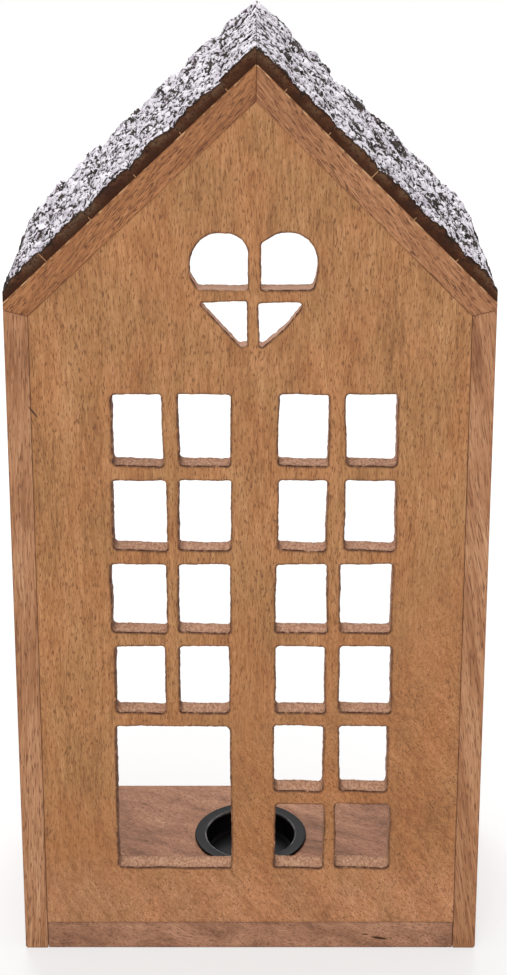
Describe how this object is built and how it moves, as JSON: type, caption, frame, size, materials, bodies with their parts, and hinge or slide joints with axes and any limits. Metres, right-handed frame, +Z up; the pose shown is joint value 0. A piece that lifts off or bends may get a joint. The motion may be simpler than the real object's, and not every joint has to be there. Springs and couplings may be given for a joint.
{
  "type": "tealight house",
  "caption": "Wooden house-shaped tealight holder, open at the back, with fretted panes, a door and a heart in its front, a bark-clad gable roof and a lift-out metal cup.",
  "frame": {"origin": "on the ground below the middle of the house's width and depth", "axes": "+X to the right as seen from the front, +Y from the fretted front to the open back, +Z up"},
  "size_m": [0.2, 0.114, 0.407],
  "materials": {
    "panel_wood": "oiled, fine open pores",
    "frame_wood": "oiled, reddish streaks",
    "base_wood": "oiled, greyish brown",
    "bark": "rough bark washed with white paint",
    "black_metal": "satin black",
    "brad_steel": "bright drawn wire"
  },
  "bodies": {
    "house": {"base_board": "base_wood", "left_side_board": "frame_wood", "right_side_board": "frame_wood", "front_panel": "panel_wood", "left_roof_board": "frame_wood", "right_roof_board": "frame_wood", "bark_left_1": "bark", "bark_left_2": "bark", "bark_left_3": "bark", "bark_left_4": "bark", "bark_left_5": "bark", "bark_left_6": "bark", "bark_right_1": "bark", "bark_right_2": "bark", "bark_right_3": "bark", "bark_right_4": "bark", "bark_right_5": "bark", "bark_right_6": "bark", "base_brads": "brad_steel", "eave_brads": "brad_steel", "ridge_brads": "brad_steel"},
    "cup": {"tealight_cup": "black_metal"}
  },
  "joints": [
    {"name": "cup_lift", "type": "slide", "parent": "house", "child": "cup", "axis": [0, 0, 1], "range_m": [0, 0.05]}
  ]
}
